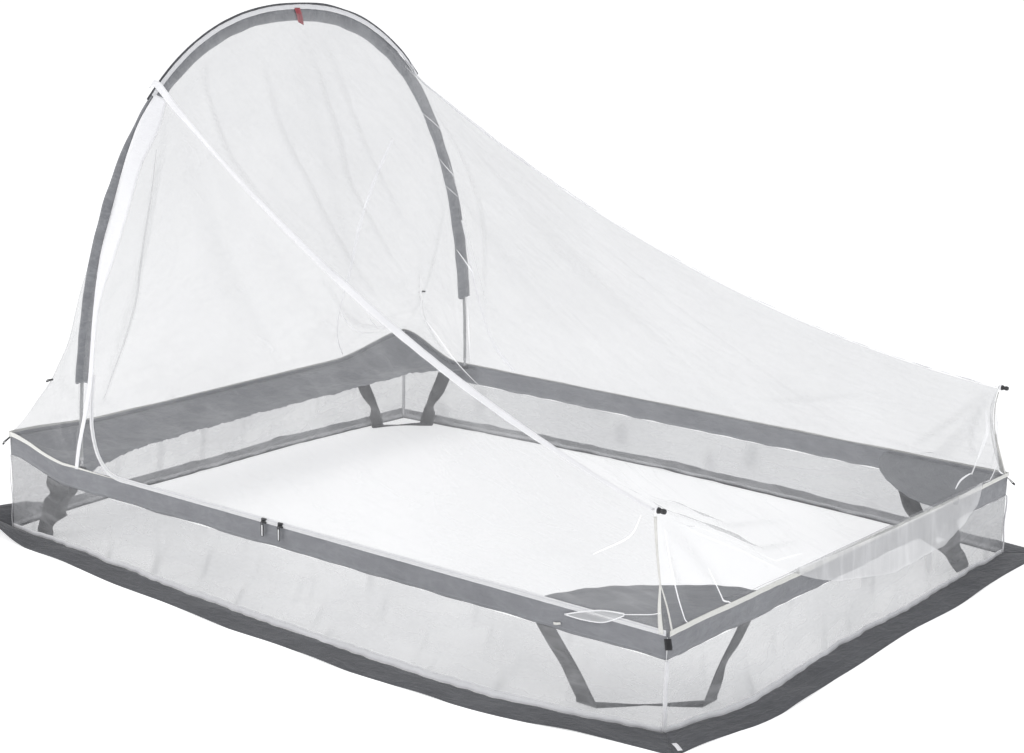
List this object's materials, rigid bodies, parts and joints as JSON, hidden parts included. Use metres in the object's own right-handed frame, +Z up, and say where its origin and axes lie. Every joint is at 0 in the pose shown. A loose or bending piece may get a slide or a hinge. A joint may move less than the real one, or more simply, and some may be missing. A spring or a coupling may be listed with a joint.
{
  "type": "mosquito net tent",
  "caption": "Mosquito net tent for a double bed: sagging net over one tall hoop at the head end, zipped side, grey band, lower net wall and ground skirt.",
  "frame": {"origin": "on the floor under the middle of the band, in the middle of the footprint", "axes": "+X towards the foot end, -X the head end with the hoop, -Y the near side with the zip, +Z up"},
  "size_m": [2.237, 1.8062, 1.2992],
  "materials": {
    "skirt": "plain woven ground fabric",
    "band": "plain woven fabric",
    "strap": "ribbed webbing",
    "net": "fine mosquito mesh",
    "tape": "white binding tape",
    "black": "moulded",
    "red": "woven tab",
    "fibreglass": "pultruded tube",
    "steel": "plain",
    "elastic": "braided elastic",
    "moulding": "moulded"
  },
  "bodies": {
    "tent": {"apex_tab": "red", "band_far": "band", "band_foot": "band", "band_head": "band", "band_near": "band", "corner_tab_foot_far": "black", "corner_tab_foot_near": "black", "corner_tab_head_far": "black", "corner_tab_head_near": "black", "edge_tape": "tape", "ferrule_1": "steel", "ferrule_2": "steel", "ferrule_3": "steel", "ferrule_4": "steel", "foot_seam_far": "tape", "foot_seam_near": "tape", "gusset_far": "band", "gusset_near": "band", "guy_tab_far": "black", "guy_tab_near": "black", "head_panel": "band", "net_door": "net", "net_far": "net", "net_foot": "net", "net_head": "net", "net_top": "net", "pole_seat_far": "moulding", "pole_seat_near": "moulding", "pole_section_1": "fibreglass", "pole_section_2": "fibreglass", "pole_section_3": "fibreglass", "pole_section_4": "fibreglass", "pole_section_5": "fibreglass", "pole_sleeve": "band", "pole_tip_far": "steel", "pole_tip_near": "steel", "ridge_end_far": "black", "ridge_end_near": "black", "ridge_tape_far": "tape", "ridge_tape_near": "tape", "shock_cord": "elastic", "skirt_far": "skirt", "skirt_foot": "skirt", "skirt_head": "skirt", "skirt_near": "skirt", "sleeve_tape": "tape", "strap_foot_far": "strap", "strap_foot_near": "strap", "strap_head_far": "strap", "strap_head_near": "strap", "wall_net_far": "net", "wall_net_foot": "net", "wall_net_head": "net", "wall_net_near": "net", "zip_coil": "tape", "zip_tape": "tape"},
    "slider_head": {"zip_slider_head": "black"},
    "slider_foot": {"zip_slider_foot": "black"},
    "pull_head": {"zip_pull_head": "tape"},
    "pull_foot": {"zip_pull_foot": "tape"}
  },
  "joints": [
    {"name": "zip_slide_head", "type": "slide", "parent": "tent", "child": "slider_head", "axis": [-1, 0, 0], "range_m": [0, 0.385]},
    {"name": "zip_slide_foot", "type": "slide", "parent": "tent", "child": "slider_foot", "axis": [1, 0, 0], "range_m": [0, 1]},
    {"name": "zip_pull_head_swing", "type": "hinge", "parent": "slider_head", "child": "pull_head", "pos_m": [-0.1, -0.7604, 0.209], "axis": [-1, 0, 0], "range_deg": [-5, 180]},
    {"name": "zip_pull_foot_swing", "type": "hinge", "parent": "slider_foot", "child": "pull_foot", "pos_m": [-0.048, -0.7604, 0.209], "axis": [-1, 0, 0], "range_deg": [-5, 180]}
  ]
}
